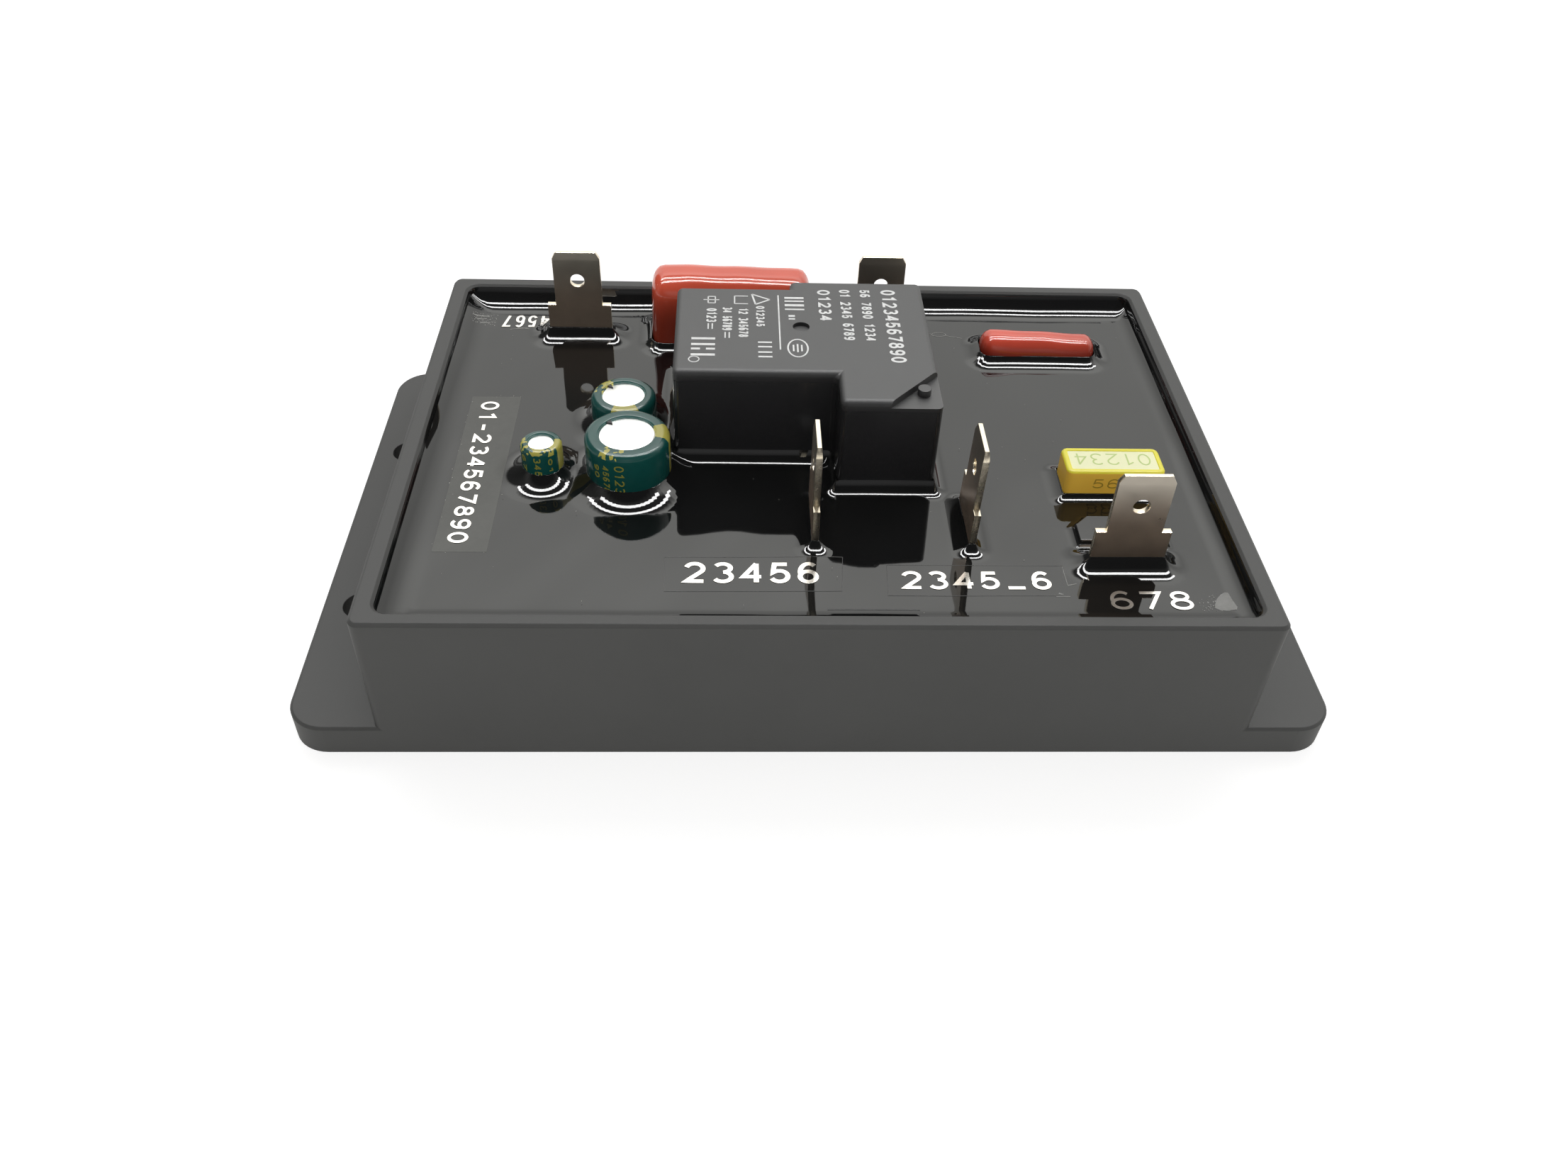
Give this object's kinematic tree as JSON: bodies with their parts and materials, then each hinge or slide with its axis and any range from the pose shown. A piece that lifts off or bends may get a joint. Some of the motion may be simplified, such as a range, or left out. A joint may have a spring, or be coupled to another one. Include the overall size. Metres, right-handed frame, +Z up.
{
  "type": "compressor soft starter",
  "caption": "Potted motor starter module: a flanged tray filled with glossy black resin, out of which a relay, blade terminals and capacitors stand.",
  "frame": {"origin": "centre of the tray's underside", "axes": "+X to the right along the tray, +Y to the rear, +Z up, out of the open tray"},
  "size_m": [0.1204, 0.0716, 0.0306],
  "materials": {
    "tray_plastic": "moulded black plastic, satin, faintly grained",
    "potting_resin": "cast black resin, mirror gloss, self-levelled",
    "relay_plastic": "moulded black plastic, satin top, white pad print",
    "board_laminate": "glass epoxy laminate, green",
    "fuse_plastic": "moulded black plastic, satin",
    "yellow_plastic": "moulded yellow plastic, glossy",
    "epoxy_fill": "poured epoxy, matt",
    "red_epoxy": "dipped red epoxy, glossy",
    "black_compound": "moulded black compound, matt",
    "resistor_lacquer": "lacquered, beige",
    "tab_metal": "stamped tin-plated brass, bright cut edges",
    "green_sleeve": "shrunk dark green sleeve with a pale stripe",
    "can_aluminium": "bare bright aluminium",
    "tinned_wire": "tinned copper wire"
  },
  "bodies": {
    "root": {"bleeder_resistor": "resistor_lacquer", "bleeder_resistor_leads": "tinned_wire", "box_capacitor_case": "yellow_plastic", "box_capacitor_fill": "epoxy_fill", "box_capacitor_leads": "tinned_wire", "bridge_rectifier": "black_compound", "bridge_rectifier_legs": "tinned_wire", "case_tray": "tray_plastic", "circuit_board": "board_laminate", "controller_chip": "black_compound", "controller_chip_legs": "tinned_wire", "driver_transistor": "black_compound", "driver_transistor_leads": "tinned_wire", "dropper_resistor": "resistor_lacquer", "dropper_resistor_leads": "tinned_wire", "flyback_diode": "black_compound", "flyback_diode_leads": "tinned_wire", "fuse_cover": "fuse_plastic", "fuse_leads": "tinned_wire", "large_can": "can_aluminium", "large_can_leads": "tinned_wire", "large_can_sleeve": "green_sleeve", "large_film_capacitor": "red_epoxy", "large_film_leads": "tinned_wire", "medium_can": "can_aluminium", "medium_can_leads": "tinned_wire", "medium_can_sleeve": "green_sleeve", "potting_resin": "potting_resin", "relay_base": "relay_plastic", "relay_coil_pins": "tinned_wire", "relay_contact_pins": "tinned_wire", "relay_cover": "relay_plastic", "small_can": "can_aluminium", "small_can_leads": "tinned_wire", "small_can_sleeve": "green_sleeve", "small_film_capacitor": "red_epoxy", "small_film_leads": "tinned_wire", "tab_front_left": "tab_metal", "tab_front_middle": "tab_metal", "tab_front_right": "tab_metal", "tab_rear_centre": "tab_metal", "tab_rear_left": "tab_metal", "zener_diode": "black_compound", "zener_diode_leads": "tinned_wire"}
  },
  "joints": []
}
